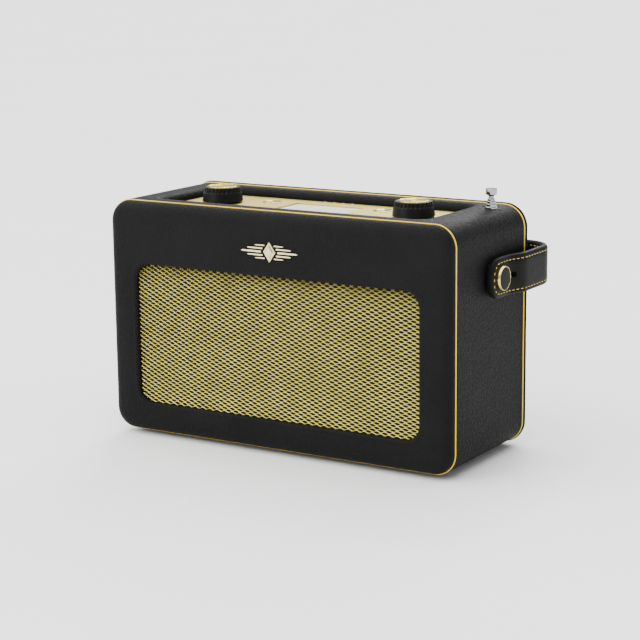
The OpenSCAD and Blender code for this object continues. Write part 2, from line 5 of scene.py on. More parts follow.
import bmesh
import bpy
from mathutils import Matrix, Vector


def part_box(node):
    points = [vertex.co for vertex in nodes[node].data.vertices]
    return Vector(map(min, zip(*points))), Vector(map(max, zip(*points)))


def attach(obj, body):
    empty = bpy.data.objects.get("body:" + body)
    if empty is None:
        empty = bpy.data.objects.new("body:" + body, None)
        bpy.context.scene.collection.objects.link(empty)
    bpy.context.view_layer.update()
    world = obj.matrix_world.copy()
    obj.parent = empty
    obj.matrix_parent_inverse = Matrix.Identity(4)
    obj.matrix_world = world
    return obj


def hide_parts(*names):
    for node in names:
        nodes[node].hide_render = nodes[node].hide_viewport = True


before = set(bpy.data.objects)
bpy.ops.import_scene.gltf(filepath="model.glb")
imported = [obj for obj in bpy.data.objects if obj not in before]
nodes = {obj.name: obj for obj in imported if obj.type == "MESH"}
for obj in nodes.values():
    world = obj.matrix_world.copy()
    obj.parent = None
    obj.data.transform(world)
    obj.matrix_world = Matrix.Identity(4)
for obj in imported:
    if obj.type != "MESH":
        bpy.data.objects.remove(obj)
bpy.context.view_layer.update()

# ------------------------------------------------------------------ places, in millimetres
# x from the middle, y from the middle of the body, z from the bottom of the case.
wrap_lo, wrap_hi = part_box("leather_wrap")
Y_MID = (wrap_lo.y + wrap_hi.y) / 2
Z_LOW = wrap_lo.z
CASE_W = (wrap_hi.x - wrap_lo.x) * 1000
CASE_H = (wrap_hi.z - wrap_lo.z) * 1000
CORNER = 14.0           # radius of the case's corners
GRILLE_LAP = 3.5        # the grille's edge behind the front leather


def at(x, y, z):
    """A point of the case, in metres in the row frame."""
    return Vector((x / 1000, Y_MID + y / 1000, Z_LOW + z / 1000))


def local_box(node):
    """A CAD node's box in the case's millimetres."""
    lo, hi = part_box(node)
    base = Vector((0, Y_MID, Z_LOW))
    return (lo - base) * 1000, (hi - base) * 1000


seam_y = sum(v.y for v in local_box("rear_piping")) / 2
front_y = local_box("front_cover")[0].y
grille_lo, grille_hi = local_box("grille")
OPEN_W = grille_hi.x - grille_lo.x - 2 * GRILLE_LAP
OPEN_H = grille_hi.z - grille_lo.z - 2 * GRILLE_LAP
OPEN_Z = (grille_hi.z + grille_lo.z) / 2
OPEN_R = 10.0


# ------------------------------------------------------------------ mesh helpers

def rounded_loop(w, h, r, arc=10, along=44, up=26):
    """Points round a rounded rectangle, always the same number for the same steps."""
    points = []
    corners = [(1, 1, 0), (-1, 1, 90), (-1, -1, 180), (1, -1, 270)]
    for k, (sx, sy, start) in enumerate(corners):
        cx, cy = sx * (w / 2 - r), sy * (h / 2 - r)
        for i in range(arc + 1):
            a = math.radians(start + 90 * i / arc)
            points.append((cx + r * math.cos(a), cy + r * math.sin(a)))
        nx, ny, _ = corners[(k + 1) % 4]
        qx, qy = nx * (w / 2 - r), ny * (h / 2 - r)
        end = math.radians(start + 90)
        ax, ay = cx + r * math.cos(end), cy + r * math.sin(end)
        bx, by = qx + r * math.cos(end), qy + r * math.sin(end)
        steps = along if k % 2 == 0 else up
        for i in range(1, steps):
            t = i / steps
            points.append((ax + (bx - ax) * t, ay + (by - ay) * t))
    return points


def mix_loops(a, b, t):
    return [(p[0] + (q[0] - p[0]) * t, p[1] + (q[1] - p[1]) * t) for p, q in zip(a, b)]


def loft(rings, close_rings=True, close_path=False, caps=False):
    """Vertices and faces through rings of equal length."""
    n = len(rings[0])
    verts = [p for ring in rings for p in ring]
    faces = []
    last = len(rings) if close_path else len(rings) - 1
    for k in range(last):
        a, b = k * n, ((k + 1) % len(rings)) * n
        for i in range(n if close_rings else n - 1):
            j = (i + 1) % n
            faces.append((a + i, a + j, b + j, b + i))
    if caps:
        faces.append(tuple(range(n - 1, -1, -1)))
        base = (len(rings) - 1) * n
        faces.append(tuple(base + i for i in range(n)))
    return verts, faces


def add_closed(verts, faces, rings):
    """Adds a closed loft to a mesh in the making."""
    more, quads = loft(rings, caps=True)
    base = len(verts)
    verts.extend(more)
    faces.extend(tuple(base + i for i in f) for f in quads)


def circle(r, steps, shift=0.0):
    """Points round a circle."""
    turns = [2 * math.pi * (i + shift) / steps for i in range(steps)]
    return [(r * math.cos(a), r * math.sin(a)) for a in turns]


def add_object(name, data):
    """A new object in the scene."""
    obj = bpy.data.objects.new(name, data)
    bpy.context.scene.collection.objects.link(obj)
    return obj


def mesh_object(name, verts, faces, weld=None):
    """A mesh with outward normals; points closer than weld, in metres, become one."""
    mesh = bpy.data.meshes.new(name)
    mesh.from_pydata([tuple(v) for v in verts], [], faces)
    bm = bmesh.new()
    bm.from_mesh(mesh)
    if weld:
        bmesh.ops.remove_doubles(bm, verts=bm.verts, dist=weld)
    bmesh.ops.recalc_face_normals(bm, faces=bm.faces)
    bm.to_mesh(mesh)
    bm.free()
    return add_object(name, mesh)


def build(name, verts, faces, body, material, replaces=(), smooth=True, sharp=None):
    """A finished piece that rides on a body."""
    obj = mesh_object(name, verts, faces, 1e-6)
    obj.data.materials.append(material)
    shade(obj, smooth, sharp)
    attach(obj, body)
    if replaces:
        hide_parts(*replaces)
    return obj


def shade(obj, smooth=True, sharp=None):
    for poly in obj.data.polygons:
        poly.use_smooth = smooth
    if sharp is not None:
        obj.data.set_sharp_from_angle(angle=math.radians(sharp))


def apply_modifiers(obj):
    """Turns the piece's modifiers into mesh."""
    bpy.context.view_layer.update()
    graph = bpy.context.evaluated_depsgraph_get()
    mesh = bpy.data.meshes.new_from_object(obj.evaluated_get(graph))
    obj.modifiers.clear()
    obj.data = mesh


def cut_away(obj, verts, faces):
    """Takes closed shapes out of a piece."""
    cutter = mesh_object("cutter", verts, faces)
    cut = obj.modifiers.new("cut", "BOOLEAN")
    cut.operation = "DIFFERENCE"
    cut.solver = "EXACT"
    cut.object = cutter
    apply_modifiers(obj)
    bpy.data.objects.remove(cutter)


def lathe(profile, centre, axis="Z", steps=96, radius=None):
    """Rings of a turned profile [(r, h)] about the Z or X axis through centre.

    radius(r, h, angle) may change r."""
    rings = []
    for r, h in profile:
        ring = []
        for i in range(steps):
            a = 2 * math.pi * i / steps
            q = radius(r, h, a) if radius else r
            u, v = q * math.cos(a), q * math.sin(a)
            p = (u, v, h) if axis == "Z" else (h, u, v)
            ring.append(at(centre[0] + p[0], centre[1] + p[1], centre[2] + p[2]))
        rings.append(ring)
    return rings


def rounded_profile(points, radius=0.3, steps=4):
    """Rounds every corner of an open profile but its two ends."""
    out = [points[0]]
    for a, b, c in zip(points, points[1:], points[2:]):
        va = Vector((a[0] - b[0], a[1] - b[1]))
        vc = Vector((c[0] - b[0], c[1] - b[1]))
        cut = min(radius, va.length * 0.45, vc.length * 0.45)
        p, q = Vector(b) + va.normalized() * cut, Vector(b) + vc.normalized() * cut
        for i in range(steps + 1):
            t = i / steps
            m = p * (1 - t) ** 2 + Vector(b) * 2 * t * (1 - t) + q * t * t
            out.append((m.x, m.y))
    out.append(points[-1])
    return out


# ------------------------------------------------------------------ materials

class Nodes:
    """A short way to write a procedural material in the piece's own coordinates."""

    def __init__(self, name):
        self.mat = bpy.data.materials.new(name)
        self.mat.use_nodes = True
        self.tree = self.mat.node_tree
        self.bsdf = self.tree.nodes["Principled BSDF"]
        self.coords = self.add("ShaderNodeTexCoord").outputs["Object"]

    def add(self, kind, **settings):
        node = self.tree.nodes.new(kind)
        for key, value in settings.items():
            setattr(node, key, value)
        return node

    def link(self, a, b):
        self.tree.links.new(a, b)

    def mapped(self, scale=(1, 1, 1), location=(0, 0, 0)):
        node = self.add("ShaderNodeMapping")
        node.inputs["Scale"].default_value = scale
        node.inputs["Location"].default_value = location
        self.link(self.coords, node.inputs["Vector"])
        return node.outputs["Vector"]

    def noise(self, scale, detail=3, rough=0.55, vector=None):
        node = self.add("ShaderNodeTexNoise")
        node.inputs["Scale"].default_value = scale
        node.inputs["Detail"].default_value = detail
        node.inputs["Roughness"].default_value = rough
        self.link(vector or self.coords, node.inputs["Vector"])
        return node.outputs["Fac"]

    def cells(self, scale, smooth):
        node = self.add("ShaderNodeTexVoronoi", feature="SMOOTH_F1")
        node.inputs["Scale"].default_value = scale
        node.inputs["Randomness"].default_value = 1.0
        node.inputs["Smoothness"].default_value = smooth
        self.link(self.coords, node.inputs["Vector"])
        return node.outputs["Distance"]

    def bands(self, scale, vector=None, direction="X", distortion=0.0, kind="BANDS"):
        node = self.add("ShaderNodeTexWave", wave_type=kind)
        if kind == "BANDS":
            node.bands_direction = direction
        else:
            node.rings_direction = direction
        node.inputs["Scale"].default_value = scale
        node.inputs["Distortion"].default_value = distortion
        self.link(vector or self.coords, node.inputs["Vector"])
        return node.outputs["Fac"]

    def math(self, operation, a, b):
        node = self.add("ShaderNodeMath", operation=operation)
        for socket, value in zip(node.inputs, (a, b)):
            if isinstance(value, (int, float)):
                socket.default_value = value
            else:
                self.link(value, socket)
        return node.outputs[0]

    def ramp(self, value, low, high, start=0.3, end=0.7):
        node = self.add("ShaderNodeValToRGB")
        node.color_ramp.elements[0].color = (*low, 1)
        node.color_ramp.elements[1].color = (*high, 1)
        node.color_ramp.elements[0].position = start
        node.color_ramp.elements[1].position = end
        self.link(value, node.inputs["Fac"])
        return node.outputs["Color"]

    def span(self, value, low, high, start=0.3, end=0.7):
        node = self.add("ShaderNodeMapRange")
        for key, number in (("From Min", start), ("From Max", end), ("To Min", low), ("To Max", high)):
            node.inputs[key].default_value = number
        self.link(value, node.inputs["Value"])
        return node.outputs["Result"]

    def colour(self, value):
        self.link(value, self.bsdf.inputs["Base Color"])

    def rough(self, value):
        self.link(value, self.bsdf.inputs["Roughness"])

    def bump(self, height, depth, strength=1.0, under=None):
        """Depth is in metres; under is the bump that this one lies on."""
        node = self.add("ShaderNodeBump")
        node.inputs["Strength"].default_value = strength
        node.inputs["Distance"].default_value = depth
        self.link(height, node.inputs["Height"])
        if under is not None:
            self.link(under, node.inputs["Normal"])
        self.link(node.outputs["Normal"], self.bsdf.inputs["Normal"])
        return node.outputs["Normal"]

    def set(self, **values):
        for key, value in values.items():
            self.bsdf.inputs[key.replace("_", " ")].default_value = value


def grey(v):
    return v, v, v


def leather(name, low, high, rough=(0.46, 0.62), grain=620.0, depth=0.00045, specular=0.055):
    """Pebble-grained leather: cells, creases between them and slow colour change."""
    n = Nodes(name)
    pebble = n.cells(grain, 0.35)
    fine = n.noise(2600, 2)
    slow = n.noise(28, 4)
    n.colour(n.ramp(slow, low, high, 0.25, 0.75))
    n.rough(n.span(n.math("ADD", pebble, n.math("MULTIPLY", slow, 0.6)), *rough, 0.3, 1.0))
    height = n.math("ADD", n.math("MULTIPLY", pebble, -1.0), n.math("MULTIPLY", fine, 0.25))
    under = n.bump(n.noise(70, 3), 0.0005, 0.35)
    n.bump(height, depth, 0.8, under)
    n.set(Specular_IOR_Level=specular)
    return n.mat


def moulded(name, low, high, rough=(0.3, 0.45), grain=1500.0, depth=0.00004, **more):
    """Plastic, rubber or paint: fine spark-eroded texture and a little variation."""
    n = Nodes(name)
    slow = n.noise(60, 3)
    n.colour(n.ramp(slow, low, high))
    n.rough(n.span(n.noise(240, 4), *rough))
    n.bump(n.noise(grain, 3), depth, 0.6)
    n.set(**more)
    return n.mat


def metal(name, low, high, rough=(0.15, 0.3), stretch=(1, 1, 1), grain=900.0, depth=0.00001, **more):
    """Metal with drawn or brushed lines along the short side of stretch."""
    n = Nodes(name)
    lines = n.noise(grain, 3, 0.6, n.mapped(stretch))
    n.colour(n.ramp(n.noise(90, 4), low, high, 0.25, 0.75))
    uneven = n.math("ADD", n.math("MULTIPLY", lines, 0.7), n.math("MULTIPLY", n.noise(45, 3), 0.3))
    n.rough(n.span(uneven, *rough))
    n.bump(lines, depth, 0.5)
    n.set(Metallic=1.0, **more)
    return n.mat


def spun(name, low, high, centre):
    """Metal turned on a lathe: fine rings round the upright axis through centre."""
    n = Nodes(name)
    pitch = 0.00035
    shifted = n.mapped(location=(-centre.x, -centre.y, -centre.z))
    rings = n.bands(0.5 / pitch / math.pi, shifted, "Z", 0.6, "RINGS")
    n.colour(n.ramp(n.noise(120, 3), low, high, 0.25, 0.75))
    uneven = n.math("ADD", n.math("MULTIPLY", rings, 0.5), n.math("MULTIPLY", n.noise(160, 3), 0.5))
    n.rough(n.span(uneven, 0.16, 0.3, 0.2, 0.8))
    n.bump(rings, 0.000002, 0.4)
    turned = n.add("ShaderNodeTangent", direction_type="RADIAL", axis="Z")
    n.link(turned.outputs["Tangent"], n.bsdf.inputs["Tangent"])
    n.set(Metallic=1.0, Anisotropic=0.9, Anisotropic_Rotation=0.25)
    return n.mat


def cloth(name, low, high, pitch):
    """Plain woven cloth."""
    n = Nodes(name)
    across = n.bands(0.5 / pitch, None, "X", 0.3)
    along = n.bands(0.5 / pitch, None, "Z", 0.3)
    weave = n.math("MULTIPLY", across, along)
    n.colour(n.ramp(weave, low, high, 0.1, 0.8))
    n.rough(n.span(n.noise(600, 3), 0.8, 0.95))
    n.bump(weave, 0.0002, 0.7)
    return n.mat


def board(name):
    """Fibreboard: pressed flecks."""
    n = Nodes(name)
    flecks = n.noise(420, 5, 0.7, n.mapped((1, 3, 1)))
    n.colour(n.ramp(flecks, (0.23, 0.14, 0.075), (0.42, 0.29, 0.17)))
    n.rough(n.span(flecks, 0.65, 0.85))
    n.bump(flecks, 0.0001, 0.6)
    return n.mat


def circuit(name):
    """Green solder mask over a faint grid of tracks."""
    n = Nodes(name)
    tracks = n.math("MAXIMUM", n.bands(260, None, "X", 1.2), n.bands(200, None, "Z", 1.5))
    n.colour(n.ramp(tracks, (0.01, 0.1, 0.035), (0.03, 0.2, 0.08), 0.8, 0.95))
    n.rough(n.span(n.noise(300, 3), 0.25, 0.4))
    n.bump(tracks, 0.00004, 0.5)
    return n.mat


case_leather = leather("case_leather", (0.006, 0.006, 0.0061), (0.0088, 0.0088, 0.0089), depth=0.00034)
strap_leather = leather("strap_leather", grey(0.0045), (0.0073, 0.0071, 0.0069), grain=1100.0,
                        depth=0.0001, rough=(0.38, 0.55))
cord_vinyl = leather("cord_vinyl", (0.85, 0.57, 0.05), (0.93, 0.67, 0.08), rough=(0.4, 0.55), grain=2600.0,
                     depth=0.00004)
thread = cloth("gold_thread", (0.68, 0.49, 0.07), (0.84, 0.65, 0.15), 0.0003)
panel_metal = metal("panel_gold", (0.5, 0.41, 0.09), (0.56, 0.46, 0.12), (0.36, 0.5), (1, 30, 1), 500.0,
                    0.000008)
window_plastic = moulded("window_cream", (0.88, 0.83, 0.7), (0.92, 0.88, 0.76), (0.18, 0.26), 900.0, 0.00001)
knob_plastic = moulded("knob_black", grey(0.0025), grey(0.0045), (0.34, 0.46), 1800.0,
                       0.00002, Specular_IOR_Level=0.18)
black_plastic = moulded("black_plastic", grey(0.007), grey(0.013), (0.5, 0.65),
                        Specular_IOR_Level=0.15)
socket_plastic = moulded("socket_plastic", grey(0.01), grey(0.018), (0.25, 0.4))
inner_plastic = moulded("inner_plastic", (0.04, 0.04, 0.045), (0.06, 0.06, 0.066), (0.5, 0.65))
rotor_plastic = moulded("rotor_plastic", (0.6, 0.58, 0.5), (0.72, 0.7, 0.62), (0.35, 0.5))
light_pipe = moulded("light_pipe", (0.75, 0.74, 0.7), (0.86, 0.85, 0.82), (0.12, 0.22))
foot_rubber = moulded("foot_rubber", grey(0.011), grey(0.02), (0.75, 0.9), 2200.0, 0.00008)
surround_rubber = moulded("surround_rubber", grey(0.008), grey(0.014), (0.55, 0.7))
cone_paper = moulded("cone_paper", grey(0.02), (0.04, 0.038, 0.035), (0.8, 0.95), 1200.0, 0.0001)
ferrite = moulded("magnet_ferrite", (0.03, 0.03, 0.032), (0.05, 0.05, 0.053), (0.5, 0.7), 900.0, 0.00006)
speaker_paint = moulded("speaker_steel", (0.03, 0.033, 0.037), (0.045, 0.05, 0.055), (0.35, 0.5))
jacket = moulded("battery_jacket", (0.03, 0.06, 0.1), (0.05, 0.09, 0.14), (0.25, 0.4))
spring_steel = metal("spring_steel", grey(0.5), (0.65, 0.65, 0.64), (0.25, 0.4), (1, 1, 12))
encoder_steel = metal("encoder_metal", (0.42, 0.43, 0.44), (0.55, 0.56, 0.57), (0.3, 0.45), (8, 1, 1))
shaft_steel = metal("shaft_steel", grey(0.5), (0.62, 0.62, 0.61), (0.2, 0.35), (1, 1, 20))
chrome = metal("aerial_chrome", (0.24, 0.245, 0.25), (0.34, 0.345, 0.35), (0.05, 0.13), (1, 1, 8), 700.0,
               0.000002)
grille_brass = metal("grille_brass", (0.6, 0.52, 0.105), (0.77, 0.69, 0.165), (0.3, 0.45), (1, 1, 1), 1500.0,
                     0.00002)
badge_gold = metal("badge_gold", (0.66, 0.57, 0.3), (0.76, 0.68, 0.42), (0.12, 0.25), (1, 1, 6), 900.0)
fixing_brass = metal("fixing_brass", (0.62, 0.47, 0.17), (0.78, 0.62, 0.27), (0.3, 0.45))
stud_brass = metal("stud_brass", (0.66, 0.52, 0.16), (0.8, 0.66, 0.25), (0.14, 0.28), (1, 6, 1), 900.0)
grille_back = cloth("grille_cloth", grey(0.003), (0.012, 0.012, 0.011), 0.0008)
fibreboard = board("cabinet_board")
solder_mask = circuit("circuit_board")


# ------------------------------------------------------------------ front cover

def case_loop(margin):
    return rounded_loop(CASE_W - 2 * margin, CASE_H - 2 * margin, CORNER - min(margin, CORNER - 1.5))


def opening_loop(grow):
    return [(x, z + OPEN_Z - CASE_H / 2) for x, z in
            rounded_loop(OPEN_W + 2 * grow, OPEN_H + 2 * grow, OPEN_R + grow)]


def upright(loop, y):
    """A loop in the X-Z plane at y, round the middle of the case."""
    return [at(x, y, CASE_H / 2 + z) for x, z in loop]


def front_cover():
    margin = 0.6                                # the cover is this much smaller than the case all round
    edge_in, edge_out = 8.0, -seam_y - 0.9      # width of the rounded edge, and where it starts
    welt = 3.4                                  # width of the raised band round the opening
    rings = [upright(case_loop(3.0), -seam_y - 0.6), upright(case_loop(1.5), -seam_y - 0.5)]
    steps = 9
    for i in range(steps + 1):
        a = math.pi / 2 * i / steps
        rings.append(upright(case_loop(margin + edge_in * (1 - math.cos(a))),
                             edge_out + (front_y - edge_out) * math.sin(a)))
    outer, inner = case_loop(margin + edge_in), opening_loop(welt)
    for i in range(1, 12):
        t = i / 12
        crown = 0.28 * math.sin(math.pi * t) ** 0.8
        rings.append(upright(mix_loops(outer, inner, t), front_y - crown))
    rings.append(upright(inner, front_y - 0.02))
    # the welt, then the lip that turns in to the grille and back behind the leather
    for grow, y in ((2.9, -0.1), (2.3, -0.16), (1.7, -0.08), (1.1, 0.16), (0.6, 0.52), (0.25, 0.98),
                    (0.06, 1.5), (0.0, 2.1), (0.0, 2.42), (1.5, 2.44), (4.0, 2.44), (4.0, 5.2)):
        rings.append(upright(opening_loop(grow), front_y + y))
    verts, faces = loft(rings, close_path=True)
    cover = build("front_leather", verts, faces, "case", case_leather, ["front_cover"])


# ------------------------------------------------------------------ leather-covered back

def back_cover():
    """A rounded board under leather, cut for the battery door, the sockets and the screws."""
    lo, hi = local_box("back_panel")
    margin, edge = lo.x + CASE_W / 2, 5.0
    rings = [upright(case_loop(margin), lo.y)]
    for i in range(10):
        a = math.pi / 2 * i / 9
        rings.append(upright(case_loop(margin + edge * (1 - math.cos(a))), hi.y - edge + edge * math.sin(a)))
    for inset, rise in ((0.8, 0.06), (1.8, 0.12), (3.0, 0.15)):
        rings.append(upright(case_loop(margin + edge + inset), hi.y + rise))
    verts, faces = loft(rings, caps=True)
    cover = build("back_leather", verts, faces, "case", case_leather, ["back_panel"])
    gap, pin_out, pin_r, barrel_r = 0.3, 2.5, 1.4, 2.3
    screw_r, sink_r, sink, shank_r = 3.1, 3.3, 1.4, 1.8
    screw_lo, screw_hi = local_box("back_panel_screws")
    door_lo, door_hi = local_box("battery_door")
    plate_lo, plate_hi = local_box("connector_plate")
    door_lo.x, door_hi.x = door_lo.x + pin_out, door_hi.x - pin_out
    verts, faces = [], []
    for a, b in ((door_lo, door_hi), (plate_lo, plate_hi)):
        loop = rounded_loop(b.x - a.x + 2 * gap, b.z - a.z + 2 * gap, 0.8, 4, 2, 2)
        x0, z0 = (a.x + b.x) / 2, (a.z + b.z) / 2
        add_closed(verts, faces, [[at(x0 + x, y, z0 + z) for x, z in loop] for y in (lo.y - 1, hi.y + 1)])
    levels = ((shank_r, lo.y - 1), (shank_r, hi.y - sink), (sink_r, hi.y - sink), (sink_r, hi.y + 1))
    for x0 in (screw_lo.x + screw_r, screw_hi.x - screw_r):
        for z0 in (screw_lo.z + screw_r, CASE_H / 2, screw_hi.z - screw_r):
            add_closed(verts, faces, [[at(x0 + x, y, z0 + z) for x, z in circle(r, 24)] for r, y in levels])
    cut_away(cover, verts, faces)
    # the hinge pins' holes run into the door's opening, so they are cut on their own
    verts, faces = [], []
    y0, z0 = hi.y - barrel_r, door_lo.z + barrel_r
    add_closed(verts, faces, [[at(x, y0 + y, z0 + z) for y, z in circle(pin_r, 16)]
                              for x in (door_lo.x - pin_out - gap, door_hi.x + pin_out + gap)])
    cut_away(cover, verts, faces)
    soften = cover.modifiers.new("soften", "BEVEL")
    soften.limit_method = "ANGLE"
    soften.angle_limit = math.radians(60)
    soften.width = 0.0004
    soften.segments = 3
    apply_modifiers(cover)
    shade(cover, True, 40)


# ------------------------------------------------------------------ wrap with the recess in its top

aerial_lo, aerial_hi = local_box("aerial_tube")
AERIAL = ((aerial_lo.x + aerial_hi.x) / 2, (aerial_lo.y + aerial_hi.y) / 2)
panel_lo, panel_hi = local_box("control_panel")
WELL_W = panel_hi.x - panel_lo.x + 0.3
WELL_D = panel_hi.y - panel_lo.y + 0.3
PANEL_TOP = panel_hi.z


def wrap():
    """The leather over the top, sides and base, rolled in to the recess that holds the panel."""
    end = seam_y - 0.5                      # where it stops, short of the piping
    roll, drop, crown = 5.0, 4.2, 0.45      # the rim's rounded inner edge, its fall, and its padding
    well_r = 5.0
    top_x = CASE_W / 2 - CORNER
    side, across, arc = 30, 60, 8
    well = rounded_loop(WELL_W, WELL_D, well_r, arc, across, side)
    # the outer rectangle gets one point for each point of the recess's edge, at the same share of its side
    half = arc // 2
    n = len(well)
    starts = [half, half + arc + across, half + 2 * arc + across + side,
              half + 3 * arc + 2 * across + side]
    corners = [(top_x, end), (-top_x, end), (-top_x, -end), (top_x, -end)]
    outer = [None] * n
    edge_ys = []
    for k in range(4):
        a, b = starts[k], starts[(k + 1) % 4]
        count = (b - a) % n
        lengths = [0.0]
        for i in range(count):
            p, q = well[(a + i) % n], well[(a + i + 1) % n]
            lengths.append(lengths[-1] + math.dist(p, q))
        for i in range(count + 1):
            t = lengths[i] / lengths[-1]
            p, q = corners[k], corners[(k + 1) % 4]
            outer[(a + i) % n] = (p[0] + (q[0] - p[0]) * t, p[1] + (q[1] - p[1]) * t)
            if k == 1:
                edge_ys.append(outer[(a + i) % n][1])
    edge_ys = sorted(edge_ys)
    rings = []
    inner = rounded_loop(WELL_W + 2 * roll, WELL_D + 2 * roll, well_r + roll, arc, across, side)
    for i in range(9):
        t = i / 8
        lift = crown * math.sin(math.pi / 2 * t) ** 0.7
        rings.append([at(x, y, CASE_H + lift * rim_share(y, end)) for x, y in mix_loops(outer, inner, t)])
    for i in range(1, 11):
        a = math.pi / 2 * i / 10
        grow = roll * (1 - math.sin(a))
        loop = rounded_loop(WELL_W + 2 * grow, WELL_D + 2 * grow, well_r + grow, arc, across, side)
        rings.append([at(x, y, CASE_H + crown - (drop + crown) * (1 - math.cos(a))) for x, y in loop])
    rings.append([at(x, y, PANEL_TOP + 0.05) for x, y in well])
    verts, faces = loft(rings)
    # the rest of the wrap: down one side, under the base and up the other
    outline = []
    for i in range(15):
        a = math.radians(90 - 90 * i / 14)
        outline.append((top_x + CORNER * math.cos(a), CASE_H - CORNER + CORNER * math.sin(a)))
    for i in range(1, 20):
        outline.append((CASE_W / 2, CASE_H - CORNER - (CASE_H - 2 * CORNER) * i / 20))
    for i in range(15):
        a = math.radians(-90 * i / 14)
        outline.append((top_x + CORNER * math.cos(a), CORNER + CORNER * math.sin(a)))
    outline += [(top_x * (1 - i / 8), 0.0) for i in range(1, 9)]
    outline += [(-x, z) for x, z in reversed(outline[:-1])]
    base = len(verts)
    rows = [[at(x, y, z) for y in edge_ys] for x, z in outline]
    more, sheets = loft(rows, close_rings=False)
    verts += more
    faces += [tuple(base + i for i in f) for f in sheets]
    obj = build("wrap_leather", verts, faces, "case", case_leather, ["leather_wrap"])
    press_dimple(obj)
    thicken = obj.modifiers.new("thick", "SOLIDIFY")
    thicken.thickness = 0.0007
    thicken.offset = -1
    apply_modifiers(obj)
    shade(obj)


def rim_share(y, end):
    """The padding of the rims fades out towards the piping."""
    across = min(1.0, max(0.0, (end - abs(y)) / 3.0))
    return math.sin(math.pi / 2 * across)


def press_dimple(obj):
    """The round dimple that the aerial stands in, with a faint welt round it."""
    flat, slope_end, depth = 4.9, 7.4, 0.0005
    welt_r, welt_w, welt_h = 8.1, 0.8, 0.1
    centre = at(*AERIAL, CASE_H)
    bm = bmesh.new()
    bm.from_mesh(obj.data)

    def near(v, reach):
        return v.co.z > centre.z - 0.012 and math.hypot(v.co.x - centre.x, v.co.y - centre.y) < reach

    for reach in (0.0135, 0.0115, 0.0105):
        edges = [e for e in bm.edges if all(near(v, reach) for v in e.verts)]
        bmesh.ops.subdivide_edges(bm, edges=edges, cuts=1, use_grid_fill=True)
    for v in bm.verts:
        if near(v, 0.0105):
            r = math.hypot(v.co.x - centre.x, v.co.y - centre.y) * 1000
            fall = 1 - min(max((r - flat) / (slope_end - flat), 0), 1)
            fall = fall * fall * (3 - 2 * fall)
            welt = math.exp(-((r - welt_r) / welt_w) ** 2) * welt_h
            floor_z = centre.z - depth
            v.co.z += (floor_z - v.co.z) * fall + welt / 1000
    bm.to_mesh(obj.data)
    bm.free()


# ------------------------------------------------------------------ piping

def cord(name, y, material, margin, r, replaces=()):
    """A round cord along the case's outline, very slightly uneven, as a sewn cord is."""
    loop = case_loop(margin)
    n = len(loop)
    rings = []
    for i, (x, z) in enumerate(loop):
        px, pz = loop[i - 1]
        qx, qz = loop[(i + 1) % n]
        tangent = Vector((qx - px, 0, qz - pz)).normalized()
        out = Vector((tangent.z, 0, -tangent.x))
        size = r * (1 + 0.02 * math.sin(i * 1.7) + 0.015 * math.sin(i * 0.37))
        ring = []
        for u, v in circle(size, 12):
            p = out * u + Vector((0, v, 0))
            ring.append(at(x + p.x, y + p.y, CASE_H / 2 + z + p.z))
        rings.append(ring)
    verts, faces = loft(rings, close_path=True)
    build(name, verts, faces, "case", material, replaces)


# ------------------------------------------------------------------ expanded-metal grille

def grille():
    """A sheet of joined lozenges, each with a hole whose upper lip leans out and lower lip leans in."""
    pitch_x, pitch_z = 5.7, 2.9
    half_l, half_h = 2.3, 1.05      # half the length and height of a hole
    lean = 0.36
    plain_x, plain_z = 2.6, 1.4     # lozenges closer than this to the edge are left out
    y0 = (grille_lo.y + grille_hi.y) / 2 - 0.1
    verts, faces = [], []
    lookup = {}

    def point(x, z, y):
        key = (round(x, 3), round(z, 3), round(y, 3))
        if key not in lookup:
            lookup[key] = len(verts)
            verts.append(at(x, y0 + y, z))
        return lookup[key]

    lozenge = [(1.0, 0.0), (0.5, 0.5), (0.0, 1.0), (-0.5, 0.5),
               (-1.0, 0.0), (-0.5, -0.5), (0.0, -1.0), (0.5, -0.5)]
    hole = [(1.0, 0.0), (0.66, 0.7), (0.0, 1.0), (-0.66, 0.7),
            (-1.0, 0.0), (-0.66, -0.7), (0.0, -1.0), (0.66, -0.7)]
    columns = int((grille_hi.x - grille_lo.x) / pitch_x * 2) + 1
    rows = int((grille_hi.z - grille_lo.z) / pitch_z * 2) + 1
    for i in range(columns):
        for j in range(rows):
            if (i + j) % 2:
                continue
            cx = grille_lo.x + 0.4 + i * pitch_x / 2
            cz = grille_lo.z + 0.3 + j * pitch_z / 2
            if not (grille_lo.x + plain_x < cx < grille_hi.x - plain_x
                    and grille_lo.z + plain_z < cz < grille_hi.z - plain_z):
                continue
            rim, mid, inner = [], [], []
            for (lx, lz), (hx, hz) in zip(lozenge, hole):
                ox, oz = cx + lx * pitch_x / 2, cz + lz * pitch_z / 2
                ix, iz = cx + hx * half_l, cz + hz * half_h
                tilt = -lean * hz
                rim.append(point(ox, oz, 0.0))
                mx, mz = ox + (ix - ox) * 0.6, oz + (iz - oz) * 0.6
                mid.append(point(mx, mz, tilt * 0.55 - 0.05))
                inner.append(point(ix, iz, tilt))
            for k in range(8):
                m = (k + 1) % 8
                faces.append((rim[k], rim[m], mid[m], mid[k]))
                faces.append((mid[k], mid[m], inner[m], inner[k]))
    obj = build("grille_mesh", verts, faces, "case", grille_brass, ["grille"])
    thicken = obj.modifiers.new("thick", "SOLIDIFY")
    thicken.thickness = 0.0003
    thicken.offset = 1
    apply_modifiers(obj)
    shade(obj, True, 40)


# ------------------------------------------------------------------ badge

